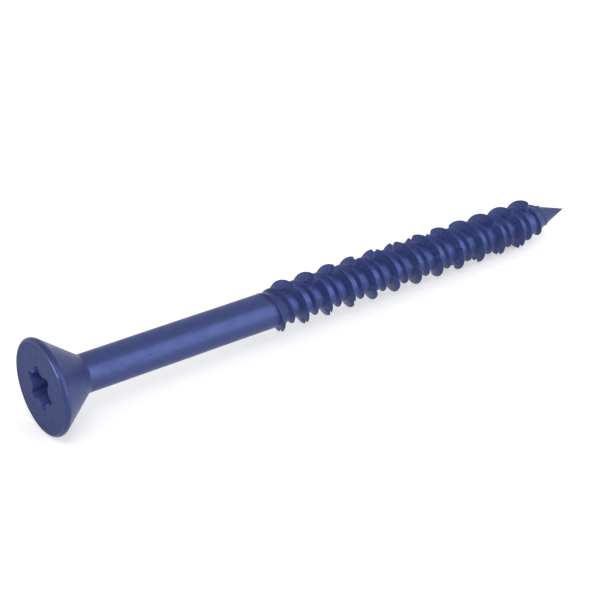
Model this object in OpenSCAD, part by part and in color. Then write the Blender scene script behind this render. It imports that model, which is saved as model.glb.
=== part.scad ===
// Flat-head concrete screw with a six-lobe recess and a notched high and low thread.
// One solid piece, lying on its head rim and its thread crests. Millimetres, z up, point to +x.

/* [Overall] */
// Length over all, from the head face to the point
length = 82.55; // [60:0.05:120]
// Turn of the lying screw about its own axis, degrees
roll = 36.3; // [0:0.1:360]

/* [Head] */
// Diameter over the rim of the head
head_d = 11.94; // [9:0.05:15]
// Height from the face to where the cone meets the shank
head_h = 5.4; // [3.5:0.02:8]
// Height of the rim from the face to the cone
rim_h = 0.68; // [0.5:0.02:1.5]
// Rounding between the face and the rim
face_round = 0.42; // [0.1:0.02:0.56]
// Rounding between the rim and the cone
cone_round = 0.6; // [0.05:0.05:0.75]

/* [Drive recess] */
// Size over two opposite lobes
recess_over = 5.5; // [4.6:0.05:7]
// Size across two opposite valleys
recess_across = 3.9; // [3:0.05:4.5]
// Radius at the end of a lobe
lobe_r = 0.5; // [0.4:0.02:0.7]
// Radius of a valley between two lobes
valley_r = 1.2; // [0.8:0.05:1.5]
// Depth of the lobed walls
recess_depth = 2.5; // [1:0.05:3.2]
// Depth of the cone below the lobed walls
recess_cone = 0.9; // [0.2:0.05:1.2]
// Turn of the recess about the axis, degrees
recess_turn = 21; // [0:1:60]

/* [Shank] */
// Diameter of the plain shank
shank_d = 4.75; // [4:0.02:6]
// Distance from the face to the end of the turned shank
shank_end = 30; // [20:0.1:45]

/* [Thread] */
// Lead of the thread, one high and one low ridge in it
lead = 3.654; // [3:0.002:5]
// Diameter over the high ridge
high_d = 6.25; // [5.6:0.02:8]
// Diameter over the low ridge
low_d = 5.1; // [4.8:0.02:6]
// Diameter of the root
root_d = 4.04; // [3:0.02:4.7]
// Flat width of the high crest
high_crest = 0.1; // [0.05:0.01:0.5]
// Width of the high flank on the head side
high_flank_head = 0.42; // [0.2:0.01:0.8]
// Width of the high flank on the point side
high_flank_point = 0.54; // [0.2:0.01:0.8]
// Flat width of the low crest
low_crest = 0.12; // [0.05:0.01:0.4]
// Width of each low flank
low_flank = 0.38; // [0.15:0.01:0.6]
// Distance from the plain shank to the first trace of the high ridge
run_in = 0.92; // [0.5:0.02:2]
// Width of the taper from the shank to the root
taper_w = 0.9; // [0.3:0.05:2]
// Distance from the point to the end of the full high ridge
high_stop = 7.4; // [5:0.1:14]

/* [Notches] */
// Notches in ten turns of the high crest
notch_rate = 31; // [24:1:36]
// Depth of a notch below the crest
notch_depth = 0.45; // [0.1:0.02:0.9]
// Place of the first notch, in facet steps from the start of the helix
notch_shift = 14; // [0:1:19]

/* [Point] */
// Length of the tapered point
point_l = 6.3; // [4:0.1:12]

/* [Hidden] */
blue = [0.24, 0.28, 0.5];
head_r = head_d / 2;
shank_r = shank_d / 2;
high_r = high_d / 2;
low_r = low_d / 2;
root_r = root_d / 2;
// Step from the plain shank down to the rolled end
neck_step = 0.02;
neck_r = shank_r - neck_step;
// Half of the cone angle of the head
cone_a = atan((head_r - shank_r) / (head_h - rim_h));
// Radius of the cone's rounding, which starts behind the rounding of the face, and the station of its start
cone_r = min(cone_round, (rim_h - face_round) / tan(cone_a / 2));
land_s = rim_h - cone_r * tan(cone_a / 2);
// Facets in one turn of the crest and of the root
cols = 2 * notch_rate;
half_cols = notch_rate;
// Facet steps from one notch to the next
notch_steps = 20;
// Station of the high crest at the first angle of the helix
helix_s = shank_end + run_in;
// Parts of a lead: to the taper, to the ring that closes the helix, and left free at the point
taper_share = 0.55;
ring_share = 0.6;
tip_share = 0.7;
taper_s = helix_s + taper_share * lead;
ring_s = helix_s - (1 + ring_share) * lead;
turns = floor((length - helix_s) / lead - tip_share);
g0 = -cols;
g1 = turns * cols;
full_t = (length - high_stop - helix_s) / lead;
// Run-in of the high ridge: turns before and after zero as a low trace, share of its height at the end of it,
// turns of the rise to the full height, and width of the gentle slope behind the trace
trace_before_t = 0.02;
trace_t = 0.34;
trace_h = 0.2;
rise_t = 0.14;
trace_slope = 0.95;
// Run-out of the high ridge: turns of the drop, share that is left, turns of that stub, turns of its fading
drop_t = 0.05;
stub_h = 0.4;
stub_t = 0.35;
fade_t = 1.1;
// Run-in and run-out of the low ridge
low_rise_t = 0.3;
low_drop_t = 0.5;
low_stub_h = 0.2;
low_fade_t = 0.8;
// Share of the notch that is left one step after its deepest place
notch_rest = 0.55;
// Least share of a flank's width
least_flank = 0.15;
// The lying axis drops from the rim to the crest that carries the point
rest_t = floor(full_t - 0.5 - roll / 360) + 0.5 + roll / 360;
rest_s = helix_s + lead * rest_t;
tilt = atan((head_r - high_r) / (rest_s - land_s));
rest_z = head_r * cos(tilt) + land_s * sin(tilt);
rest_x = -(length * cos(tilt) - (head_r - face_round) * sin(tilt)) / 2;

function mix(a, b, k) = a + (b - a) * min(max(k, 0), 1);

function arc(x, y, r, a0, a1, n) =
    [for (i = [0:n]) let (a = a0 + (a1 - a0) * i / n) [x + r * cos(a), y + r * sin(a)]];

// Radius of the body under the ridges at a station along the axis
function core_r(s) =
    s < taper_s + taper_w
        ? mix(neck_r, root_r, (s - taper_s) / taper_w)
        : min(root_r, (length - s) * root_r / point_l);

// Share of the full ridge height along the helix, counted in turns
function high_h(t) =
    t < trace_t ? mix(0, trace_h, (t + trace_before_t) / (trace_t + trace_before_t))
    : t < full_t ? mix(trace_h, 1, (t - trace_t) / rise_t)
    : t < full_t + stub_t ? mix(1, stub_h, (t - full_t) / drop_t)
    : mix(stub_h, 0, (t - full_t - stub_t) / fade_t);

function low_h(t) =
    t < 0
        ? mix(0, 1, t / low_rise_t + 1)
        : mix(1, low_stub_h, (t - full_t) / low_drop_t + 1) * mix(1, 0, (t - full_t - stub_t) / low_fade_t);

// Depth of the notch at a facet step: a steep fall over one step, then a slower rise over two
function notch(g) =
    let (k = (g - g0 - notch_shift) % notch_steps)
    k == 0 ? notch_depth : k == 1 ? notch_rest * notch_depth : 0;

function high_s(g) = helix_s + lead * g / cols;
function low_s(g) = helix_s + lead * (g / cols + 0.5);
function high_top(g) =
    let (c = core_r(high_s(g)), h = high_h(g / cols))
    min(high_r, c + h * (high_r - root_r)) - (h > 0.5 ? notch(g) : 0);
function low_top(g) =
    let (c = core_r(low_s(g)))
    min(low_r, c + low_h(g / cols) * (low_r - root_r));
// Share of the flank width that is left where the ridge is lower
function high_k(g) =
    let (c = core_r(high_s(g)))
    max(least_flank,
        min(1, (min(high_r, c + high_h(g / cols) * (high_r - root_r)) - c) / (high_r - root_r)));
// Width of the high flank on the point side, wider along the trace
function point_w(g) =
    mix(trace_slope, high_flank_point * high_k(g), (g / cols - trace_t) / rise_t);
function low_k(g) =
    max(least_flank, min(1, (low_top(g) - core_r(low_s(g))) / (low_r - root_r)));

function at(s, r, g) = [r * cos(360 * g / cols), r * sin(360 * g / cols), s];
function on_core(s, g) = at(s, core_r(s), g);

// The eight lines of one lead: foot, crest, crest, foot of the high and then of the low ridge
function line_point(p, g) =
    p == 0 ? on_core(high_s(g) - high_crest / 2 - high_flank_head * high_k(g), g)
    : p == 1 ? at(high_s(g) - high_crest / 2, high_top(g), g)
    : p == 2 ? at(high_s(g) + high_crest / 2, high_top(g), g)
    : p == 3 ? on_core(high_s(g) + high_crest / 2 + point_w(g), g)
    : p == 4 ? on_core(low_s(g) - low_crest / 2 - low_flank * low_k(g), g)
    : p == 5 ? at(low_s(g) - low_crest / 2, low_top(g), g)
    : p == 6 ? at(low_s(g) + low_crest / 2, low_top(g), g)
    : on_core(low_s(g) + low_crest / 2 + low_flank * low_k(g), g);

// Every facet step for the high crest, every second one for the other lines
step_of = [for (p = [0:7]) p == 1 || p == 2 ? 1 : 2];
count_of = [for (p = [0:7]) (g1 - g0) / step_of[p] + 1];
function sum_to(p) = p == 0 ? 0 : count_of[p - 1] + sum_to(p - 1);
base_of = [for (p = [0:7]) sum_to(p)];
ring_base = sum_to(8);
cap_i = ring_base + half_cols;
tip_i = cap_i + 1;
function id(p, g) = base_of[p] + (g - g0) / step_of[p];
function ring(j) = ring_base + j % half_cols;

thread_points = concat(
    [for (p = [0:7]) for (g = [g0:step_of[p]:g1]) line_point(p, g)],
    [for (j = [0:half_cols - 1]) at(ring_s, neck_r, 2 * j)],
    [[0, 0, ring_s], [0, 0, length]]
);

// Two facets between lines of the same step, three where the step changes
function quad(a, b, c, d) = [[a, b, c], [a, c, d]];
function band(p, q, g, h) =
    step_of[p] == 2 && step_of[q] == 2
        ? quad(id(p, g), id(q, h), id(q, h + 2), id(p, g + 2))
    : step_of[p] == 1 && step_of[q] == 1
        ? concat(quad(id(p, g), id(q, h), id(q, h + 1), id(p, g + 1)),
                 quad(id(p, g + 1), id(q, h + 1), id(q, h + 2), id(p, g + 2)))
    : step_of[p] == 2
        ? [[id(p, g), id(q, h), id(q, h + 1)], [id(p, g), id(q, h + 1), id(p, g + 2)],
           [id(p, g + 2), id(q, h + 1), id(q, h + 2)]]
        : [[id(p, g), id(q, h), id(p, g + 1)], [id(p, g + 1), id(q, h), id(q, h + 2)],
           [id(p, g + 1), id(q, h + 2), id(p, g + 2)]];

// Chains along the first and the last angle, where the helix is closed
first_chain = concat([ring(0)], [for (p = [0:7]) id(p, g0)], [id(0, g0 + cols)]);
last_chain = concat([id(7, g1 - cols)], [for (p = [0:7]) id(p, g1)], [tip_i]);
first_apex = id(0, g0 + cols - 2);
last_apex = id(7, g1 - cols + 2);

thread_faces = concat(
    [for (p = [0:6]) for (g = [g0:2:g1 - 2]) each band(p, p + 1, g, g)],
    [for (g = [g0:2:g1 - cols - 2]) each band(7, 0, g, g + cols)],
    [for (j = [0:half_cols - 2])
        each quad(ring(j), id(0, g0 + 2 * j), id(0, g0 + 2 * j + 2), ring(j + 1))],
    [[ring(half_cols - 1), first_apex, ring(0)]],
    [for (i = [0:len(first_chain) - 2]) [first_apex, first_chain[i + 1], first_chain[i]]],
    [for (i = [0:len(last_chain) - 2]) [last_apex, last_chain[i], last_chain[i + 1]]],
    [for (g = [g1 - cols + 2:2:g1 - 2]) [id(7, g), tip_i, id(7, g + 2)]],
    [for (j = [0:half_cols - 1]) [cap_i, ring(j), ring(j + 1)]]
);

// Turned head and plain shank, axis on z with the face at zero
module turned_blank() {
    rotate_extrude($fn = 96)
        polygon(concat(
            [[0, 0]],
            arc(head_r - face_round, face_round, face_round, -90, 0, 5),
            arc(head_r - cone_r, land_s, cone_r, 0, cone_a, 4),
            [[shank_r, head_h], [shank_r, shank_end], [0, shank_end]]
        ));
}

// Outline of the six-lobe recess
module lobe_outline() {
    lobe_c = recess_over / 2 - lobe_r;
    valley_c = recess_across / 2 + valley_r;
    web = 0.25 * lobe_r;
    difference() {
        circle(r = lobe_c + web, $fn = 48);
        for (k = [0:5])
            rotate(30 + 60 * k)
                translate([valley_c, 0])
                    circle(r = valley_r, $fn = 48);
    }
    for (k = [0:5])
        rotate(60 * k)
            translate([lobe_c, 0])
                circle(r = lobe_r, $fn = 32);
}

module drive_recess() {
    above = 1;
    overlap = 0.1;
    tip_r = 0.15;
    rotate(recess_turn)
        translate([0, 0, -above])
            linear_extrude(height = recess_depth + above)
                lobe_outline();
    translate([0, 0, recess_depth - overlap])
        cylinder(h = recess_cone + overlap, r1 = recess_across / 2 - overlap, r2 = tip_r, $fn = 48);
}

// Rolled end with both ridges, the notches and the point
module threaded_end() {
    polyhedron(points = thread_points, faces = thread_faces, convexity = 10);
}

module concrete_screw() {
    color(blue)
        translate([rest_x, 0, rest_z])
            rotate([0, 90 + tilt, 0])
                rotate([0, 0, 180 - roll])
                    union() {
                        difference() {
                            turned_blank();
                            drive_recess();
                        }
                        threaded_end();
                    }
}

concrete_screw();
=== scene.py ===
import logging
import math
from dataclasses import dataclass, field
from enum import Enum

import bpy
import numpy as np
from mathutils import Matrix, Vector


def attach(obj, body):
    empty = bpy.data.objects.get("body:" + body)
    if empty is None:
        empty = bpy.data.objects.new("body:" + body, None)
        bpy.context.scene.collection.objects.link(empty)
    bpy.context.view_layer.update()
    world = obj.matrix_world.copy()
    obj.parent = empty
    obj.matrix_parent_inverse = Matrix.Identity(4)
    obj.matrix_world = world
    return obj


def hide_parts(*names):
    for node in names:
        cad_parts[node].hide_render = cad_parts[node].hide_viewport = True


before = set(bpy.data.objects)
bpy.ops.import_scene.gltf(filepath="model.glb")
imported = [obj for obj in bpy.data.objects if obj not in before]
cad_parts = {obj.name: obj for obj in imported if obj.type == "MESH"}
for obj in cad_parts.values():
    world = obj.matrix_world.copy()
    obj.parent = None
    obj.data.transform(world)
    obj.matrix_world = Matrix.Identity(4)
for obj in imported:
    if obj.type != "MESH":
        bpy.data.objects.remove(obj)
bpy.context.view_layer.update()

log = logging.getLogger("concrete_screw")

MM = 0.001
NODE = "concrete_screw"
BODY = "root"
COAT_METAL = 0.65
WHITE = (1.0, 1.0, 1.0, 1.0)


class Attr(Enum):
    """Named surface values that the mesh carries for its materials."""

    ROUND = "round_place"
    FLANK = "flank"
    # Painted shade: a factor that darkens the coating at the rim, the thread's start and the point.
    TINT = "tint"
    METAL = "metal"


class Socket(Enum):
    """Kinds of socket on a shader node group."""

    FLOAT = "NodeSocketFloat"
    VECTOR = "NodeSocketVector"


class Effect(Enum):
    """Shader node groups that more than one material shares."""

    MOTTLE = "coating_mottle"
    GRAIN = "coating_grain"


class Zone(Enum):
    """Material slots on the screw's mesh, in order."""

    TURNED = 0
    ROLLED = 1
    FACE = 2
    RECESS = 3


Array = np.ndarray


def blend(a: Array | float, b: Array | float, k: Array | float) -> Array:
    """Mixes two values by a share that is held between 0 and 1.

    Args:
        a: Value at share 0.
        b: Value at share 1.
        k: Share.

    Returns:
        The mixed value.
    """
    return a + (b - a) * np.clip(k, 0.0, 1.0)


def soften(before: Array, corner: Array, after: Array) -> Array:
    """Rounds a corner between its two neighbours.

    Args:
        before: Points before the corner.
        corner: Points of the corner.
        after: Points after the corner.

    Returns:
        Points of the rounded corner.
    """
    return 0.25 * before + 0.5 * corner + 0.25 * after


@dataclass
class MeshParts:
    """Vertices and faces that are gathered before one mesh is made of them."""

    places: list[Array] = field(default_factory=list)
    faces: list[tuple[int, ...]] = field(default_factory=list)
    zones: list[int] = field(default_factory=list)
    flank: list[Array] = field(default_factory=list)
    tint: list[Array] = field(default_factory=list)
    metal: list[Array] = field(default_factory=list)
    count: int = 0

    def add(self, station: Array, radius: Array, angle: Array, flank: Array | float = 0.0,
            tint: Array | float = 1.0, metal: Array | float = COAT_METAL) -> Array:
        """Adds points in cylinder form and returns their numbers.

        Args:
            station: Distance from the head face in millimetres.
            radius: Distance from the axis in millimetres.
            angle: Angle about the axis in radians.
            flank: Share of a thread flank at these points.
            tint: Factor of at most one on the coating's colour that paints shade, one for all points or
                one for each.
            metal: Metal share of the coating, one for all points or one for each.

        Returns:
            Vertex numbers, one for each point.
        """
        station, radius, angle = np.broadcast_arrays(station, radius, angle)
        self.places.append(np.stack([radius, angle, station], axis=1).astype(float))
        self.flank.append(np.broadcast_to(flank, len(station)).astype(float))
        self.tint.append(np.broadcast_to(tint, len(station)).astype(float))
        self.metal.append(np.broadcast_to(metal, len(station)).astype(float))
        first = self.count
        self.count += len(station)
        return np.arange(first, self.count)

    def strip(self, a: Array, b: Array, zone: Zone, closed: bool = False) -> None:
        """Joins two rows of the same length with four-sided faces.

        Args:
            a: Vertex numbers of the first row.
            b: Vertex numbers of the second row.
            zone: Material zone of the faces.
            closed: True where the last column joins the first.
        """
        if closed:
            a, b = np.append(a, a[0]), np.append(b, b[0])
        quads = np.stack([a[:-1], a[1:], b[1:], b[:-1]], axis=1)
        self.faces.extend(map(tuple, quads.tolist()))
        self.zones.extend([zone.value] * len(quads))

    def fan(self, tip: int, row: Array, zone: Zone, closed: bool = False) -> None:
        """Joins one point to a row with triangles.

        Args:
            tip: Vertex number of the point.
            row: Vertex numbers of the row.
            zone: Material zone of the faces.
            closed: True where the last column joins the first.
        """
        if closed:
            row = np.append(row, row[0])
        for first, second in zip(row[:-1].tolist(), row[1:].tolist()):
            self.faces.append((tip, second, first))
            self.zones.append(zone.value)


@dataclass(frozen=True)
class LyingPose:
    """Place of the lying screw's axis in millimetres, its tilt in radians and its roll in degrees."""

    rest_x: float
    rest_z: float
    tilt: float
    roll: float

    def to_row(self) -> Matrix:
        """Returns the matrix from the screw's own axis frame to the row frame, in metres."""
        turn = Matrix.Rotation(math.radians(90.0) + self.tilt, 4, "Y")
        spin = Matrix.Rotation(math.radians(180.0 - self.roll), 4, "Z")
        place = Matrix.Translation(Vector((self.rest_x, 0.0, self.rest_z)) * MM)
        return place @ turn @ spin


@dataclass
class DriveRecess:
    """Six-lobe recess in the head face, in millimetres and degrees."""

    over: float = 5.5
    across: float = 3.9
    lobe_r: float = 0.5
    valley_r: float = 1.2
    depth: float = 2.5
    cone: float = 0.9
    turn: float = 21.0
    mouth_round: float = 0.07
    shoulder: float = 0.25
    floor_inset: float = 0.1
    cone_row: float = 0.45
    foot_bevel: float = 0.04
    first_row: float = 0.3
    wall_rows: int = 6
    mouth_rows: int = 8

    def outline(self, angle: Array) -> Array:
        """Distance from the axis to the lobed wall.

        Args:
            angle: Angles about the axis in radians.

        Returns:
            Wall distance in millimetres for each angle.
        """
        step = math.radians(60.0)
        a = np.abs((angle - math.radians(self.turn) + step / 2) % step - step / 2)
        lobe_c = self.over / 2 - self.lobe_r
        valley_c = self.across / 2 + self.valley_r
        off = step / 2 - a
        side = np.sqrt(np.maximum(self.valley_r**2 - (valley_c * np.sin(off)) ** 2, 0.0))
        valley = np.where(valley_c * np.sin(off) < self.valley_r, valley_c * np.cos(off) - side, np.inf)
        reach = np.sqrt(np.maximum(self.lobe_r**2 - (lobe_c * np.sin(a)) ** 2, 0.0))
        lobe = np.where(lobe_c * np.sin(a) < self.lobe_r, lobe_c * np.cos(a) + reach, 0.0)
        body = np.minimum(valley, lobe_c + self.shoulder * self.lobe_r)
        return np.maximum(body, lobe)

    def rows(self, parts: MeshParts, angle: Array) -> Array:
        """Builds the recess from its bottom to its rounded mouth.

        Args:
            parts: Mesh parts to add to.
            angle: Column angles in radians.

        Returns:
            Vertex numbers of the mouth's outer row on the face.
        """
        wall = self.outline(angle)
        floor_r = self.across / 2 - self.floor_inset
        tip = parts.add(np.array([self.depth + self.cone]), np.array([0.0]), np.array([0.0]))
        row = parts.add(self.depth + (1 - self.cone_row) * self.cone, self.cone_row * floor_r, angle)
        parts.fan(int(tip[0]), row, Zone.RECESS, closed=True)
        steps = [(self.depth, floor_r * np.ones_like(angle))]
        steps += [(self.depth, wall - self.foot_bevel), (self.depth - self.foot_bevel, wall)]
        up = np.linspace(self.depth - self.first_row, self.mouth_round, self.wall_rows)
        steps += [(station, wall) for station in up]
        for k in np.linspace(1 / self.mouth_rows, 1.0, self.mouth_rows) * math.pi / 2:
            station = self.mouth_round * (1 - math.sin(k))
            steps.append((station, wall + self.mouth_round * (1 - math.cos(k))))
        for station, radius in steps:
            new = parts.add(station, radius, angle)
            zone = Zone.FACE if station < self.mouth_round / 2 else Zone.RECESS
            parts.strip(row, new, zone, closed=True)
            row = new
        return row


@dataclass
class TurnedBlank:
    """Flat countersunk head and plain shank, in millimetres."""

    head_r: float = 5.97
    head_h: float = 5.4
    rim_h: float = 0.68
    face_round: float = 0.42
    cone_round: float = 0.6
    neck_round: float = 0.5
    shank_r: float = 2.375
    # Painted shade: the rim is darker from near the face's edge over the land to the start of the cone,
    # which tones down its highlight.
    rim_painted_shade: float = 0.82
    rim_painted_shade_from: float = 0.9
    face_shares: tuple[float, ...] = (0.08, 0.25, 0.5, 0.75, 0.94)
    cone_shares: tuple[float, ...] = (0.05, 0.25, 0.5, 0.75, 0.95)
    edge_rows: int = 13
    land_rows: int = 8
    neck_rows: int = 7
    shank_rows: int = 14
    narrow_from: float = 0.75
    recess: DriveRecess = field(default_factory=DriveRecess)

    @property
    def slope(self) -> float:
        """Half of the cone angle of the head in radians."""
        return math.atan((self.head_r - self.shank_r) / (self.head_h - self.rim_h))

    @property
    def land_s(self) -> float:
        """Station where the rounding of the cone starts."""
        return self.rim_h - self.cone_round * math.tan(self.slope / 2)

    def profile(self) -> list[tuple[float, float]]:
        """Returns station and radius pairs from the face's edge to the start of the shank."""
        slope = self.slope
        pairs = []
        for k in np.linspace(0.0, math.pi / 2, self.edge_rows):
            pairs.append((self.face_round * (1 - math.cos(k)),
                          self.head_r - self.face_round * (1 - math.sin(k))))
        for k in np.linspace(0.0, slope, self.land_rows):
            pairs.append((self.land_s + self.cone_round * math.sin(k),
                          self.head_r - self.cone_round * (1 - math.cos(k))))
        back = self.neck_round * math.tan(slope / 2)
        start = np.array([self.head_h - back * math.cos(slope), self.shank_r + back * math.sin(slope)])
        last = np.array(pairs[-1])
        pairs += [tuple(last + (start - last) * k) for k in self.cone_shares]
        for k in np.linspace(slope, 0.0, self.neck_rows):
            pairs.append((self.head_h + back - self.neck_round * math.sin(k),
                          self.shank_r + self.neck_round * (1 - math.cos(k))))
        return pairs

    def rows(self, parts: MeshParts, angle: Array, end: float, end_r: float) -> Array:
        """Builds the recess, the face, the rim, the cone and the plain shank.

        Args:
            parts: Mesh parts to add to.
            angle: Column angles in radians.
            end: Station of the last row.
            end_r: Radius of the last row.

        Returns:
            Vertex numbers of the last row on the shank.
        """
        row = self.recess.rows(parts, angle)
        mouth = self.recess.outline(angle) + self.recess.mouth_round
        edge = self.head_r - self.face_round
        for k in self.face_shares:
            # Painted shade on the face's outer rows next to the rim.
            tint = blend(1.0, self.rim_painted_shade, (k - self.rim_painted_shade_from) / (1 - self.rim_painted_shade_from))
            new = parts.add(0.0, blend(mouth, edge, k), angle, tint=tint)
            parts.strip(row, new, Zone.FACE, closed=True)
            row = new
        pairs = self.profile()
        first = pairs[-1][0]
        for k in np.linspace(0.0, 1.0, self.shank_rows)[1:]:
            narrow = (k - self.narrow_from) / (1 - self.narrow_from)
            pairs.append((first + (end - first) * k, blend(self.shank_r, end_r, narrow)))
        for number, (station, radius) in enumerate(pairs):
            # Painted shade on the rim and its land, fading out along the cone.
            tint = blend(self.rim_painted_shade, 1.0, (station - self.land_s) / self.rim_h)
            new = parts.add(station, radius, angle, tint=tint)
            parts.strip(row, new, Zone.FACE if number == 0 else Zone.TURNED, closed=True)
            row = new
        return row


@dataclass
class RolledThread:
    """High and low ridge, the notches, the run-in, the run-out and the point.

    Lengths are in millimetres. Names that end in _s are stations along the axis, in _r radii,
    in _w widths, in _h shares of the full height and in _t turns along the helix.
    """

    length: float = 82.55
    helix_s: float = 30.92
    lead: float = 3.654
    neck_r: float = 2.355
    high_r: float = 3.125
    low_r: float = 2.55
    root_r: float = 2.02
    high_crest: float = 0.1
    high_flank_head: float = 0.42
    high_flank_point: float = 0.54
    low_crest: float = 0.12
    low_flank: float = 0.38
    taper_off: float = 1.38
    taper_swing: float = 0.7
    taper_low_t: float = 0.45
    taper_w: float = 1.6
    high_stop: float = 7.4
    point_l: float = 6.3
    trace_before_t: float = 0.02
    trace_t: float = 0.34
    trace_h: float = 0.2
    rise_t: float = 0.14
    trace_slope: float = 1.3
    trace_round: float = 0.16
    # Painted shade: where the high ridge is only a trace its head side is darker as a dark ring line, the
    # slope behind it is darker, and so is the low ridge's head side until the high ridge rises.
    trace_painted_shade: float = 0.6
    slope_painted_shade: float = 0.72
    low_start_painted_shade: float = 0.7
    high_metal: tuple[float, ...] = (0.56, 0.34, 0.16, 0.2, 0.45, 0.74, 0.75)
    low_metal: tuple[float, ...] = (0.56, 0.42, 0.3, 0.4, 0.6, 0.74, 0.75)
    drop_t: float = 0.05
    stub_h: float = 0.4
    stub_t: float = 0.35
    fade_t: float = 1.1
    low_rise_t: float = 0.3
    low_drop_t: float = 0.5
    low_stub_h: float = 0.2
    low_fade_t: float = 0.8
    least_flank: float = 0.15
    notch_facets: int = 62
    notch_steps: int = 20
    notch_shift: int = 14
    notch_depth: float = 0.45
    notch_rest: float = 0.55
    foot_round: float = 0.03
    foot_limit: float = 0.4
    crest_round: float = 0.025
    crest_limit: float = 0.3
    least_reach: float = 1e-6
    notch_from: float = 0.5
    trace_gain: float = 20.0
    ridge_gain: float = 4.0
    flank_marks: tuple[float, ...] = (0.0, 0.5, 1.0, 1.0, 1.0, 0.3, 0.0)
    root_shares: tuple[float, ...] = (1 / 3, 2 / 3)
    point_shares: tuple[float, ...] = (0.25, 0.5, 0.75, 0.92)
    fine: int = 3
    turns: int = 13
    ring_share: float = 0.6
    # Painted shade: the point is darker than the thread; tip_metal is its own lower metal share.
    tip_painted_shade: float = 0.68
    tip_metal: float = 0.2
    tip_w: float = 1.5

    @property
    def cols(self) -> int:
        """Columns in one turn of the fine mesh."""
        return self.notch_facets * self.fine

    @property
    def full_t(self) -> float:
        """Turns to the end of the full high ridge."""
        return (self.length - self.high_stop - self.helix_s) / self.lead

    @property
    def ring_s(self) -> float:
        """Station where the helix leaves the plain shank."""
        return self.helix_s - (1 + self.ring_share) * self.lead

    def core(self, s: Array, t: Array) -> Array:
        """Radius of the body under the ridges, with a neck that tapers on a slant as the helix does.

        Args:
            s: Stations in millimetres.
            t: Turns along the helix, which give the angle.

        Returns:
            Radius in millimetres at each place.
        """
        swing = self.taper_swing * np.cos(2 * math.pi * (t - self.taper_low_t))
        taper_s = self.helix_s + self.taper_off + swing
        neck = blend(self.neck_r, self.root_r, (s - taper_s) / self.taper_w)
        cone = np.minimum(self.root_r, (self.length - s) * self.root_r / self.point_l)
        return np.where(s < taper_s + self.taper_w, neck, cone)

    def on_tip(self, s: Array) -> Array:
        """Share of the point's own finish and its painted shade, which come in over a short way.

        Args:
            s: Stations in millimetres.

        Returns:
            Share from 0 on the thread to 1 on the point.
        """
        return np.clip((s - self.length + self.point_l) / self.tip_w, 0.0, 1.0)

    def high_share(self, t: Array) -> Array:
        """Share of the full height of the high ridge.

        Args:
            t: Turns along the helix.

        Returns:
            Share at each place.
        """
        before = self.trace_before_t
        trace = blend(0.0, self.trace_h, (t + before) / (self.trace_t + before))
        climb = blend(self.trace_h, 1.0, (t - self.trace_t) / self.rise_t)
        rise = np.where(t < self.trace_t, trace, climb)
        drop = blend(1.0, self.stub_h, (t - self.full_t) / self.drop_t)
        fade = blend(self.stub_h, 0.0, (t - self.full_t - self.stub_t) / self.fade_t)
        return np.where(t < self.full_t, rise, np.where(t < self.full_t + self.stub_t, drop, fade))

    def low_share(self, t: Array) -> Array:
        """Share of the full height of the low ridge.

        Args:
            t: Turns along the helix.

        Returns:
            Share at each place.
        """
        drop = blend(1.0, self.low_stub_h, (t - self.full_t) / self.low_drop_t + 1.0)
        fade = blend(1.0, 0.0, (t - self.full_t - self.stub_t) / self.low_fade_t)
        return np.where(t < 0.0, blend(0.0, 1.0, t / self.low_rise_t + 1.0), drop * fade)

    def notch(self, t: Array) -> Array:
        """Depth of the notches below the high crest.

        Args:
            t: Turns along the helix.

        Returns:
            Depth in millimetres at each place.
        """
        k = ((t + 1.0) * self.notch_facets - self.notch_shift) % self.notch_steps
        k = np.where(k > self.notch_steps - 1, k - self.notch_steps, k)
        places = [-1.0, 0.0, 1.0, 2.0]
        return self.notch_depth * np.interp(k, places, [0.0, 1.0, self.notch_rest, 0.0])

    def ridge(self, t: Array, centre: Array, top: Array, head: Array, flat: float, point: Array,
              head_round: Array | float) -> list[Array]:
        """Rounded cross-section of one ridge, from foot to foot.

        Args:
            t: Turns along the helix.
            centre: Station of the crest in each column.
            top: Radius of the crest in each column.
            head: Width of the head-side flank in each column.
            flat: Width of the flat crest.
            point: Width of the point-side flank in each column.
            head_round: Width of the rounding at the head-side foot.

        Returns:
            Station and radius arrays, one for each line along the ridge.
        """
        lines = []
        for side, flank, blur in ((-1.0, head, head_round), (1.0, point, self.foot_round)):
            foot_s = centre + side * (flat / 2 + flank)
            foot = np.stack([foot_s, self.core(foot_s, t)])
            out_s = foot_s + side * blur
            out = np.stack([out_s, self.core(out_s, t)])
            crest = np.stack([centre + side * flat / 2, top])
            along = crest - foot
            reach = np.maximum(np.hypot(along[0], along[1]), self.least_reach)
            up = foot + along * np.minimum(self.foot_round / reach, self.foot_limit)
            near = crest - along * np.minimum(self.crest_round / reach, self.crest_limit)
            middle = np.stack([centre, top])
            half = [out, soften(out, foot, up), up, (up + near) / 2, near, soften(near, crest, middle)]
            if side < 0:
                lines = half + [middle]
            else:
                lines += half[::-1]
        return lines

    def shades(self, found: list[Array], marks: list[Array], trace: Array,
               begun: Array) -> tuple[list[Array], list[Array]]:
        """Painted shade and metal share of the lines of one lead.

        Args:
            found: Station and radius arrays, one for each line.
            marks: Where the high and the low ridge stand.
            trace: Where the high ridge is only a trace.
            begun: Share of the high ridge's rise that is done.

        Returns:
            Painted shade factors and metal shares, one of each for a line.
        """
        plain = np.ones_like(trace)
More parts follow.
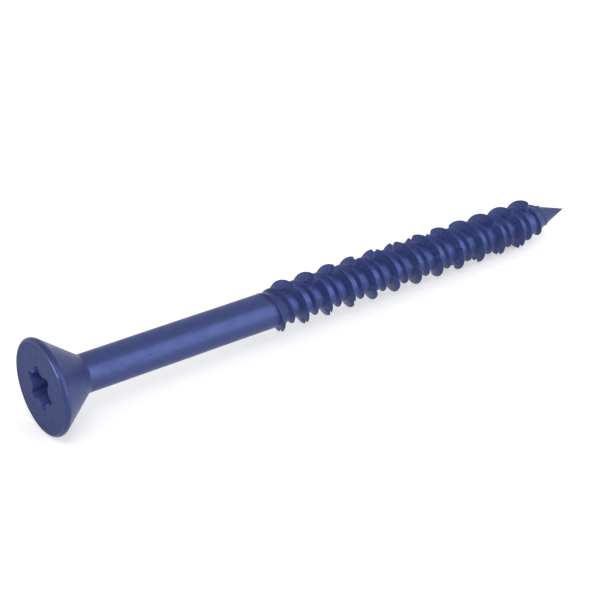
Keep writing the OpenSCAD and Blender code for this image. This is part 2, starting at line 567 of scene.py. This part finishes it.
        # Painted shade at the thread's start: the trace's head side, the slope behind it and the early
        # low ridge's head side are darker.
        head_side = blend(plain, self.trace_painted_shade, trace)
        behind = blend(plain, self.slope_painted_shade, trace)
        low_start = blend(plain, self.low_start_painted_shade, marks[1] * (1.0 - begun))
        tint, metal = [], []
        for values, mark, sides in ((self.high_metal, marks[0], (head_side, behind)),
                                    (self.low_metal, marks[1], (low_start, plain))):
            metal += [blend(COAT_METAL, value, mark) for value in values + values[-2::-1]]
            metal += [COAT_METAL * plain] * len(self.root_shares)
            tint += [sides[0]] * len(values)
            tint += [sides[1]] * (len(values) - 1 + len(self.root_shares))
        # Painted shade on the point, together with its own metal share.
        on_tip = [self.on_tip(pair[0]) for pair in found]
        tint = [shade * blend(1.0, self.tip_painted_shade, mark) for shade, mark in zip(tint, on_tip)]
        metal = [blend(value, self.tip_metal, mark) for value, mark in zip(metal, on_tip)]
        return tint, metal

    def lines(self, g: Array) -> tuple[list[Array], list[Array], list[Array], list[Array]]:
        """Lines of one lead in order along the axis.

        Args:
            g: Column numbers along the helix.

        Returns:
            Station and radius arrays, flank shares, painted shade factors and metal shares, one of each
            for a line.
        """
        t = g / self.cols
        high_s = self.helix_s + self.lead * t
        low_s = high_s + self.lead / 2
        full = self.high_r - self.root_r
        share = self.high_share(t)
        bare = np.minimum(self.high_r, self.core(high_s, t) + share * full)
        top = bare - np.where(share > self.notch_from, self.notch(t), 0.0)
        k = np.clip((bare - self.core(high_s, t)) / full, self.least_flank, 1.0)
        begun = np.clip((t - self.trace_t) / self.rise_t, 0.0, 1.0)
        point_w = blend(self.trace_slope, self.high_flank_point * k, begun)
        head_round = blend(self.trace_round, self.foot_round, begun)
        high = self.ridge(t, high_s, top, self.high_flank_head * k, self.high_crest, point_w, head_round)
        trace = np.clip(self.trace_gain * share, 0.0, 1.0) * (1.0 - begun)
        low_full = self.low_r - self.root_r
        low_top = np.minimum(self.low_r, self.core(low_s, t) + self.low_share(t) * low_full)
        k = np.clip((low_top - self.core(low_s, t)) / low_full, self.least_flank, 1.0)
        low_w = self.low_flank * k
        low = self.ridge(t, low_s, low_top, low_w, self.low_crest, low_w, self.foot_round)
        found, flank = [], []
        marks = [np.clip(self.ridge_gain * height, 0.0, 1.0) for height in (share, self.low_share(t))]
        ridge_flank = self.flank_marks + self.flank_marks[-2::-1]
        for ridge, after, mark in ((high, low[0][0], marks[0]), (low, high[0][0] + self.lead, marks[1])):
            found += ridge
            flank += [value * mark for value in ridge_flank]
            for share_on in self.root_shares:
                s = ridge[-1][0] + (after - ridge[-1][0]) * share_on
                found.append(np.stack([s, self.core(s, t)]))
                flank.append(np.zeros_like(t))
        tint, metal = self.shades(found, marks, trace, begun)
        return found, flank, tint, metal

    @staticmethod
    def zip_rows(parts: MeshParts, a: list[int], b: list[int]) -> None:
        """Joins two chains of different length that run along the axis.

        Args:
            parts: Mesh parts with the points of both chains.
            a: Vertex numbers of the chain at the lower angle.
            b: Vertex numbers of the chain at the higher angle.
        """
        station = np.concatenate(parts.places)[:, 2]
        i = j = 0
        while i < len(a) - 1 or j < len(b) - 1:
            next_a = station[a[i + 1]] if i < len(a) - 1 else math.inf
            next_b = station[b[j + 1]] if j < len(b) - 1 else math.inf
            if next_a <= next_b:
                face = (a[i], b[j], a[i + 1])
                i += 1
            else:
                face = (a[i], b[j], b[j + 1])
                j += 1
            if len(set(face)) == 3:
                parts.faces.append(face)
                parts.zones.append(Zone.ROLLED.value)

    def build(self, parts: MeshParts, ring: Array) -> None:
        """Builds the threaded end from the ring at the shank to the point.

        Args:
            parts: Mesh parts to add to.
            ring: Vertex numbers of the last row on the shank.
        """
        g = np.arange(-self.cols, self.turns * self.cols + 1)
        angle = 2 * math.pi * g / self.cols
        rows = [parts.add(pair[0], pair[1], angle, flank=share, tint=shade, metal=metal)
                for pair, share, shade, metal in zip(*self.lines(g))]
        joined = list(zip(rows[:-1], rows[1:]))
        joined.append((rows[-1][: -self.cols], rows[0][self.cols:]))
        for a, b in joined:
            parts.strip(a[: self.cols + 1], b[: self.cols + 1], Zone.TURNED)
            parts.strip(a[self.cols:], b[self.cols:], Zone.ROLLED)
        parts.strip(ring, rows[0][: self.cols], Zone.TURNED)
        first = [int(ring[0])] + [int(row[0]) for row in rows] + [int(rows[0][self.cols])]
        before = [int(ring[-1]), int(rows[0][self.cols - 1])]
        self.zip_rows(parts, before, first)
        last = rows[-1][-self.cols - 1:]
        station = np.concatenate(parts.places)[last, 2]
        end = np.array([self.length])
        tip = int(parts.add(end, np.zeros(1), np.zeros(1), tint=self.tip_painted_shade, metal=self.tip_metal)[0])
        point_rows = [last]
        for k in self.point_shares:
            s = station + (self.length - station) * k
            radius = self.core(s, g[-self.cols - 1:] / self.cols)
            # Painted shade on the point's rows.
            tint = blend(1.0, self.tip_painted_shade, self.on_tip(s))
            metal = blend(COAT_METAL, self.tip_metal, self.on_tip(s))
            point_rows.append(parts.add(s, radius, angle[-self.cols - 1:], tint=tint, metal=metal))
        for a, b in zip(point_rows[:-1], point_rows[1:]):
            parts.strip(a[1:], b[1:], Zone.ROLLED)
        parts.fan(tip, point_rows[-1][1:][::-1], Zone.ROLLED)
        ending = [int(last[0])] + [int(row[-1]) for row in rows + point_rows[1:]] + [tip]
        after = [int(last[1])] + [int(row[1]) for row in point_rows[1:]] + [tip]
        self.zip_rows(parts, ending, after)


@dataclass(frozen=True)
class CoatingFinish:
    """Blue coating on steel, with the values that differ between zones."""

    name: str
    base: tuple[float, float, float] = (0.0495, 0.069, 0.195)
    dark: tuple[float, float, float] = (0.03, 0.044, 0.14)
    metallic: float = COAT_METAL
    specular: float = 0.33
    edge: tuple[float, float, float] = (0.72, 0.72, 0.72)
    rough_low: float = 0.3
    rough_high: float = 0.38
    mottle_scale: float = 900.0
    grain_scale: float = 5200.0
    grain_depth: float = 0.05
    bump_strength: float = 0.35
    cloud_share: float = 0.25
    speck_share: float = 0.5
    line_share: float = 0.45
    striation: float = 0.0
    metal_by_place: bool = False


FINISHES = {
    Zone.TURNED: CoatingFinish("blue_coating_turned"),
    # The thread's base colour is lighter than the shank's: painted light that offsets the shade between
    # the ridges; its specular and striation are the rolled finish.
    Zone.ROLLED: CoatingFinish("blue_coating_rolled", base=(0.0518, 0.0732, 0.223), specular=0.2,
                               striation=1.0, metal_by_place=True),
    Zone.FACE: CoatingFinish("blue_coating_face", base=(0.045, 0.061, 0.171), specular=0.2,
                             edge=(0.5, 0.5, 0.5), rough_low=0.42, rough_high=0.5),
    # The recess's base colour is lighter than the shank's: painted light that offsets the shade in the
    # recess.
    Zone.RECESS: CoatingFinish("blue_coating_recess_painted_light", base=(0.062, 0.092, 0.3), metallic=0.1,
                               rough_low=0.5, rough_high=0.6),
}


@dataclass(frozen=True)
class FloorFinish:
    """Plain pale floor that shows white and keeps the shadow."""

    name: str = "pale_floor"
    colour: tuple[float, float, float] = (0.7, 0.7, 0.7)
    lift: float = 0.405
    gloss_lift: float = 0.1


class NodeKit:
    """Small helper that places and joins shader nodes in a tree."""

    def __init__(self, tree: bpy.types.NodeTree) -> None:
        """Keeps the tree to work in."""
        self.tree = tree

    def add(self, kind: str, values: dict | None = None, **settings: object) -> bpy.types.Node:
        """Adds one node.

        Args:
            kind: Blender's class name of the node.
            values: Default values by input name or number.
            **settings: Properties of the node.

        Returns:
            The new node.
        """
        node = self.tree.nodes.new(kind)
        for name, value in settings.items():
            setattr(node, name, value)
        for name, value in (values or {}).items():
            node.inputs[name].default_value = value
        return node

    def join(self, start: bpy.types.NodeSocket, end: bpy.types.NodeSocket) -> None:
        """Links an output to an input."""
        self.tree.links.new(start, end)

    def band(self, value: bpy.types.NodeSocket, limits: tuple[float, float],
             **settings: object) -> bpy.types.NodeSocket:
        """Adds a node that stretches a band of values to 0 and 1.

        Args:
            value: Socket with the values.
            limits: Ends of the band.
            **settings: Properties of the node.

        Returns:
            The result socket.
        """
        node = self.add("ShaderNodeMapRange", {"From Min": limits[0], "From Max": limits[1]}, **settings)
        self.join(value, node.inputs["Value"])
        return node.outputs["Result"]

    def math(self, operation: str, a: bpy.types.NodeSocket | float,
             b: bpy.types.NodeSocket | float) -> bpy.types.NodeSocket:
        """Adds a math node.

        Args:
            operation: Name of the operation.
            a: Socket or number for the first input.
            b: Socket or number for the second input.

        Returns:
            The result socket.
        """
        node = self.add("ShaderNodeMath", operation=operation)
        for place, value in enumerate((a, b)):
            if isinstance(value, bpy.types.NodeSocket):
                self.join(value, node.inputs[place])
            else:
                node.inputs[place].default_value = value
        return node.outputs[0]


class Effects:
    """Builds the shared shader node groups once."""

    STREAK: tuple[float, float, float] = (0.14, 1.0, 1.0)
    SPECK_SCALE: float = 6.5
    CLOUD_BAND: tuple[float, float] = (0.3, 0.7)
    SPECK_BAND: tuple[float, float] = (0.58, 0.7)
    LINE_SCALE: float = 9.0
    LINE_BAND: tuple[float, float] = (0.36, 0.64)
    LINE_HEIGHT: float = 1.1

    @staticmethod
    def sockets(group: bpy.types.NodeTree, inputs: dict[str, Socket], outputs: dict[str, Socket]) -> None:
        """Args:
            group: The node group.
            inputs: Kind of socket by input name.
            outputs: Kind of socket by output name.
        """
        for name, kind in inputs.items():
            group.interface.new_socket(name=name, in_out="INPUT", socket_type=kind.value)
        for name, kind in outputs.items():
            group.interface.new_socket(name=name, in_out="OUTPUT", socket_type=kind.value)

    @classmethod
    def mottle(cls) -> bpy.types.NodeTree:
        """Builds the cloudy unevenness of the coating and its drawn specks.

        Returns:
            A group with a mask of the clouds and a mask of the specks.
        """
        group = bpy.data.node_groups.new(Effect.MOTTLE.value, "ShaderNodeTree")
        cls.sockets(group, {"Place": Socket.VECTOR, "Scale": Socket.FLOAT},
                    {"Cloud": Socket.FLOAT, "Speck": Socket.FLOAT})
        kit = NodeKit(group)
        source = kit.add("NodeGroupInput")
        result = kit.add("NodeGroupOutput")
        cloud = kit.add("ShaderNodeTexNoise", {"Detail": 4.0, "Roughness": 0.6})
        speck = kit.add("ShaderNodeTexNoise", {"Detail": 2.0, "Roughness": 0.5})
        drawn = kit.add("ShaderNodeVectorMath", {1: cls.STREAK}, operation="MULTIPLY")
        kit.join(source.outputs["Place"], drawn.inputs[0])
        kit.join(source.outputs["Place"], cloud.inputs["Vector"])
        kit.join(drawn.outputs[0], speck.inputs["Vector"])
        kit.join(source.outputs["Scale"], cloud.inputs["Scale"])
        kit.join(kit.math("MULTIPLY", source.outputs["Scale"], cls.SPECK_SCALE), speck.inputs["Scale"])
        for noise, limits, name in ((cloud, cls.CLOUD_BAND, "Cloud"), (speck, cls.SPECK_BAND, "Speck")):
            mask = kit.band(noise.outputs[0], limits, interpolation_type="SMOOTHSTEP")
            kit.join(mask, result.inputs[name])
        return group

    @classmethod
    def grain(cls) -> bpy.types.NodeTree:
        """Builds the fine grain of the coating and the rolled lines on the flanks.

        Returns:
            A group with the height of both and a mask of the lines.
        """
        group = bpy.data.node_groups.new(Effect.GRAIN.value, "ShaderNodeTree")
        cls.sockets(group, {"Place": Socket.VECTOR, "Round": Socket.VECTOR, "Scale": Socket.FLOAT,
                            "Lines": Socket.FLOAT}, {"Height": Socket.FLOAT, "Line": Socket.FLOAT})
        kit = NodeKit(group)
        source = kit.add("NodeGroupInput")
        result = kit.add("NodeGroupOutput")
        fine = kit.add("ShaderNodeTexNoise", {"Detail": 3.0, "Roughness": 0.55})
        kit.join(source.outputs["Place"], fine.inputs["Vector"])
        kit.join(source.outputs["Scale"], fine.inputs["Scale"])
        lines = kit.add("ShaderNodeTexNoise", {"Scale": cls.LINE_SCALE, "Detail": 2.0, "Roughness": 0.6})
        kit.join(source.outputs["Round"], lines.inputs["Vector"])
        clear = kit.band(lines.outputs[0], cls.LINE_BAND)
        drawn = kit.math("MULTIPLY", clear, source.outputs["Lines"])
        raised = kit.math("MULTIPLY", drawn, cls.LINE_HEIGHT)
        kit.join(kit.math("ADD", fine.outputs[0], raised), result.inputs["Height"])
        kit.join(drawn, result.inputs["Line"])
        return group


class CoatingPainter:
    """Makes the coating's materials from their finishes."""

    def __init__(self) -> None:
        """Builds the shared groups."""
        self.groups = {Effect.MOTTLE: Effects.mottle(), Effect.GRAIN: Effects.grain()}

    def place(self, kit: NodeKit, effect: Effect, values: dict[str, float]) -> bpy.types.Node:
        """Places a shared group in a material.

        Args:
            kit: Helper on the material's tree.
            effect: Which group.
            values: Values of its inputs.

        Returns:
            The group node.
        """
        node = kit.add("ShaderNodeGroup", node_tree=self.groups[effect])
        for name, value in values.items():
            node.inputs[name].default_value = value
        return node

    def paint(self, finish: CoatingFinish) -> bpy.types.Material:
        """Makes one coating material.

        Args:
            finish: Values of the coating.

        Returns:
            The material.
        """
        material = bpy.data.materials.new(finish.name)
        material.use_nodes = True
        tree = material.node_tree
        tree.nodes.clear()
        kit = NodeKit(tree)
        shader = kit.add("ShaderNodeBsdfPrincipled", {
            "Metallic": finish.metallic,
            "Specular IOR Level": finish.specular,
            "Specular Tint": (*finish.edge, 1.0),
        })
        result = kit.add("ShaderNodeOutputMaterial")
        kit.join(shader.outputs[0], result.inputs["Surface"])
        place = kit.add("ShaderNodeTexCoord").outputs["Object"]
        mottle = self.place(kit, Effect.MOTTLE, {"Scale": finish.mottle_scale})
        grain = self.place(kit, Effect.GRAIN, {"Scale": finish.grain_scale})
        kit.join(place, mottle.inputs["Place"])
        kit.join(place, grain.inputs["Place"])
        wound = kit.add("ShaderNodeAttribute", attribute_name=Attr.ROUND.value)
        flank = kit.add("ShaderNodeAttribute", attribute_name=Attr.FLANK.value)
        kit.join(wound.outputs["Vector"], grain.inputs["Round"])
        kit.join(kit.math("MULTIPLY", flank.outputs["Fac"], finish.striation), grain.inputs["Lines"])
        colour = kit.add("ShaderNodeMix", data_type="RGBA")
        colour.inputs["A"].default_value = (*finish.base, 1.0)
        colour.inputs["B"].default_value = (*finish.dark, 1.0)
        clouded = kit.math("MULTIPLY", mottle.outputs["Cloud"], finish.cloud_share)
        specked = kit.math("MULTIPLY", mottle.outputs["Speck"], finish.speck_share)
        lined = kit.math("MULTIPLY", grain.outputs["Line"], finish.line_share)
        uneven = kit.math("ADD", kit.math("ADD", clouded, specked), lined)
        kit.join(uneven, colour.inputs["Factor"])
        # Painted shade: this attribute scales the base colour down at the rim, the thread's start and the
        # point.
        tint = kit.add("ShaderNodeAttribute", attribute_name=Attr.TINT.value)
        final = kit.add("ShaderNodeVectorMath", operation="SCALE")
        kit.join(colour.outputs["Result"], final.inputs[0])
        kit.join(tint.outputs["Fac"], final.inputs["Scale"])
        kit.join(final.outputs[0], shader.inputs["Base Color"])
        if finish.metal_by_place:
            metal = kit.add("ShaderNodeAttribute", attribute_name=Attr.METAL.value)
            kit.join(metal.outputs["Fac"], shader.inputs["Metallic"])
        rough = kit.add("ShaderNodeMapRange", {"To Min": finish.rough_low, "To Max": finish.rough_high})
        kit.join(mottle.outputs["Cloud"], rough.inputs["Value"])
        kit.join(rough.outputs["Result"], shader.inputs["Roughness"])
        bump = kit.add("ShaderNodeBump", {
            "Strength": finish.bump_strength,
            "Distance": finish.grain_depth * MM,
        })
        kit.join(grain.outputs["Height"], bump.inputs["Height"])
        kit.join(bump.outputs["Normal"], shader.inputs["Normal"])
        return material


@dataclass
class ConcreteScrew:
    """The whole screw as one mesh."""

    blank: TurnedBlank = field(default_factory=TurnedBlank)
    thread: RolledThread = field(default_factory=RolledThread)
    roll: float = 36.3
    inset: float = 0.005
    sharp_angle: float = 14.0
    wind_scale: float = 0.05

    def pose(self) -> LyingPose:
        """Works out how the screw lies on its rim and one of its last full crests."""
        head_r, land_s = self.blank.head_r, self.blank.land_s
        part = 0.5 + self.roll / 360
        rest_t = math.floor(self.thread.full_t - part) + part
        rest_s = self.thread.helix_s + self.thread.lead * rest_t
        tilt = math.atan((head_r - self.thread.high_r) / (rest_s - land_s))
        rest_z = head_r * math.cos(tilt) + land_s * math.sin(tilt)
        edge = head_r - self.blank.face_round
        rest_x = -(self.thread.length * math.cos(tilt) - edge * math.sin(tilt)) / 2
        return LyingPose(rest_x, rest_z, tilt, self.roll)

    def gather(self) -> MeshParts:
        """Returns the points and faces of the screw in its own axis frame."""
        parts = MeshParts()
        angle = 2 * math.pi * np.arange(self.thread.cols) / self.thread.cols
        ring = self.blank.rows(parts, angle, self.thread.ring_s, self.thread.neck_r)
        self.thread.build(parts, ring)
        return parts

    def build(self, finishes: list[bpy.types.Material]) -> bpy.types.Object:
        """Makes the mesh object in the row frame.

        Args:
            finishes: Materials in the order of the zones.

        Returns:
            The object.
        """
        parts = self.gather()
        places = np.concatenate(parts.places)
        radius, angle, station = places.T
        inner = np.maximum(radius - self.inset, 0.0)
        length = self.thread.length
        station_in = self.inset + station * (length - 2 * self.inset) / length
        local = np.stack([inner * np.cos(angle), inner * np.sin(angle), station_in], axis=1) * MM
        matrix = np.array(self.pose().to_row())
        row = local @ matrix[:3, :3].T + matrix[:3, 3]
        mesh = bpy.data.meshes.new(NODE + "_detail")
        mesh.from_pydata(row.tolist(), [], parts.faces)
        for material in finishes:
            mesh.materials.append(material)
        mesh.polygons.foreach_set("material_index", parts.zones)
        wound = np.stack([np.cos(angle), np.sin(angle), self.wind_scale * station], axis=1)
        around = mesh.attributes.new(Attr.ROUND.value, "FLOAT_VECTOR", "POINT")
        around.data.foreach_set("vector", wound.ravel())
        carried = {Attr.FLANK: parts.flank, Attr.TINT: parts.tint, Attr.METAL: parts.metal}
        for attr, values in carried.items():
            layer = mesh.attributes.new(attr.value, "FLOAT", "POINT")
            layer.data.foreach_set("value", np.concatenate(values))
        mesh.polygons.foreach_set("use_smooth", [True] * len(mesh.polygons))
        mesh.set_sharp_from_angle(angle=math.radians(self.sharp_angle))
        mesh.validate()
        mesh.update()
        piece = bpy.data.objects.new("screw", mesh)
        bpy.context.scene.collection.objects.link(piece)
        return piece


@dataclass(frozen=True)
class Softbox:
    """One soft area lamp that faces the screw."""

    name: str
    place: tuple[float, float, float]
    size: tuple[float, float]
    level: float
    aim: tuple[float, float, float] = (0.0, 0.0, 0.005)
    gloss_only: bool = False


@dataclass(frozen=True)
class DarkSide:
    """One side of the world that is darker in reflections."""

    axis: str
    start: float
    end: float
    depth: float


@dataclass
class Studio:
    """Floor, world, lamps and camera."""

    floor_half: float = 4.0
    world_level: float = 0.85
    dark_sides: tuple[DarkSide, ...] = (
        DarkSide("X", -0.78, -0.92, 0.35),
        DarkSide("X", 0.7, 0.92, 0.32),
        DarkSide("Z", 0.7, 0.9, 0.22),
    )
    floor: FloorFinish = field(default_factory=FloorFinish)
    boxes: tuple[Softbox, ...] = (
        Softbox("side_box", (0.4, -0.665, 0.346), (0.7, 0.78), 1.65),
        Softbox("low_glow", (0.1, -0.15, 0.0006), (0.26, 0.26), 0.85, (0.1, -0.15, 1.0), True),
        Softbox("back_box", (-0.52, 0.59, 0.17), (0.5, 0.3), 0.9),
        Softbox("top_box", (-0.27, -0.39, 0.77), (0.4, 0.4), 3.5),
        Softbox("point_box", (0.6, -0.1, 0.2), (0.3, 0.16), 1.4, (0.038, 0.0, 0.003), True),
        Softbox("rim_spark", (-0.0557, -0.0009, 0.0133), (0.007, 0.004), 20.0,
                (-0.0412, -0.0035, 0.0106), True),
    )
    camera_place: tuple[float, float, float] = (-0.10816672, -0.14143377, 0.11244379)
    camera_right: tuple[float, float, float] = (0.80602743, -0.59187774, -0.00072412)
    camera_up: tuple[float, float, float] = (0.31088887, 0.42233114, 0.85146023)
    lens: float = 98.4519
    sensor: float = 36.0
    clip: tuple[float, float] = (0.01, 20.0)

    def lay_floor(self) -> bpy.types.Object:
        """Returns the plain floor under the screw."""
        h = self.floor_half
        mesh = bpy.data.meshes.new("floor")
        mesh.from_pydata([(-h, -h, 0), (h, -h, 0), (h, h, 0), (-h, h, 0)], [], [(0, 1, 2, 3)])
        material = bpy.data.materials.new(self.floor.name)
        material.use_nodes = True
        tree = material.node_tree
        tree.nodes.clear()
        kit = NodeKit(tree)
        diffuse = kit.add("ShaderNodeBsdfDiffuse", {"Color": (*self.floor.colour, 1.0)})
        lift = kit.add("ShaderNodeEmission", {"Color": WHITE})
        glossy = kit.add("ShaderNodeLightPath").outputs["Is Glossy Ray"]
        mirrored = kit.math("MULTIPLY", glossy, self.floor.gloss_lift)
        kit.join(kit.math("ADD", mirrored, self.floor.lift), lift.inputs["Strength"])
        both = kit.add("ShaderNodeAddShader")
        kit.join(diffuse.outputs[0], both.inputs[0])
        kit.join(lift.outputs[0], both.inputs[1])
        mix = kit.add("ShaderNodeMixShader")
        kit.join(self.seen(kit), mix.inputs[0])
        kit.join(diffuse.outputs[0], mix.inputs[1])
        kit.join(both.outputs[0], mix.inputs[2])
        kit.join(mix.outputs[0], kit.add("ShaderNodeOutputMaterial").inputs["Surface"])
        mesh.materials.append(material)
        floor = bpy.data.objects.new("floor", mesh)
        bpy.context.scene.collection.objects.link(floor)
        return floor

    @staticmethod
    def seen(kit: NodeKit) -> bpy.types.NodeSocket:
        """Returns a socket that is 1 for camera, glossy and transmission rays."""
        path = kit.add("ShaderNodeLightPath")
        seen = kit.math("MAXIMUM", path.outputs["Is Camera Ray"], path.outputs["Is Glossy Ray"])
        return kit.math("MAXIMUM", seen, path.outputs["Is Transmission Ray"])

    def set_world(self) -> None:
        """Sets a white world that is darker on some sides in reflections."""
        world = bpy.data.worlds.new("studio")
        bpy.context.scene.world = world
        world.use_nodes = True
        tree = world.node_tree
        tree.nodes.clear()
        kit = NodeKit(tree)
        plain = kit.add("ShaderNodeBackground", {"Color": WHITE, "Strength": self.world_level})
        white = kit.add("ShaderNodeBackground", {"Color": WHITE})
        ahead = kit.add("ShaderNodeSeparateXYZ")
        kit.join(kit.add("ShaderNodeTexCoord").outputs["Generated"], ahead.inputs[0])
        shown = 1.0
        for side in self.dark_sides:
            limits = {"From Min": side.start, "From Max": side.end, "To Max": side.depth}
            ramp = kit.add("ShaderNodeMapRange", limits)
            kit.join(ahead.outputs[side.axis], ramp.inputs["Value"])
            shown = kit.math("SUBTRACT", shown, ramp.outputs["Result"])
        direct = kit.add("ShaderNodeLightPath").outputs["Is Camera Ray"]
        kit.join(kit.math("MAXIMUM", shown, direct), white.inputs["Strength"])
        mix = kit.add("ShaderNodeMixShader")
        kit.join(self.seen(kit), mix.inputs[0])
        kit.join(plain.outputs[0], mix.inputs[1])
        kit.join(white.outputs[0], mix.inputs[2])
        kit.join(mix.outputs[0], kit.add("ShaderNodeOutputWorld").inputs["Surface"])

    def hang_boxes(self) -> None:
        """Hangs the soft lamps."""
        for box in self.boxes:
            lamp = bpy.data.lights.new(box.name, "AREA")
            lamp.shape = "RECTANGLE"
            lamp.size, lamp.size_y = box.size
            lamp.energy = box.level * math.pi * box.size[0] * box.size[1]
            holder = bpy.data.objects.new(box.name, lamp)
            holder.location = box.place
            holder.visible_camera = False
            holder.visible_diffuse = not box.gloss_only
            aim = Vector(box.aim) - Vector(box.place)
            holder.rotation_euler = aim.to_track_quat("-Z", "Y").to_euler()
            bpy.context.scene.collection.objects.link(holder)

    def set_camera(self) -> None:
        """Puts the camera at the viewing angle of the photograph."""
        data = bpy.data.cameras.new("camera")
        data.sensor_width = self.sensor
        data.lens = self.lens
        data.clip_start, data.clip_end = self.clip
        camera = bpy.data.objects.new("camera", data)
        right, up = Vector(self.camera_right), Vector(self.camera_up)
        axes = Matrix((right, up, right.cross(up))).transposed().to_4x4()
        camera.matrix_world = Matrix.Translation(self.camera_place) @ axes
        bpy.context.scene.collection.objects.link(camera)
        bpy.context.scene.camera = camera
        bpy.context.scene.view_settings.view_transform = "Standard"


def main() -> None:
    """Builds the screw and the studio and reports each piece."""
    logging.basicConfig(level=logging.INFO)
    painter = CoatingPainter()
    piece = ConcreteScrew().build([painter.paint(FINISHES[zone]) for zone in Zone])
    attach(piece, BODY)
    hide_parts(NODE)
    log.info("%s: %d faces", piece.name, len(piece.data.polygons))
    studio = Studio()
    floor = studio.lay_floor()
    log.info("%s laid", floor.name)
    studio.set_world()
    studio.hang_boxes()
    studio.set_camera()


if __name__ == "__main__":
    main()
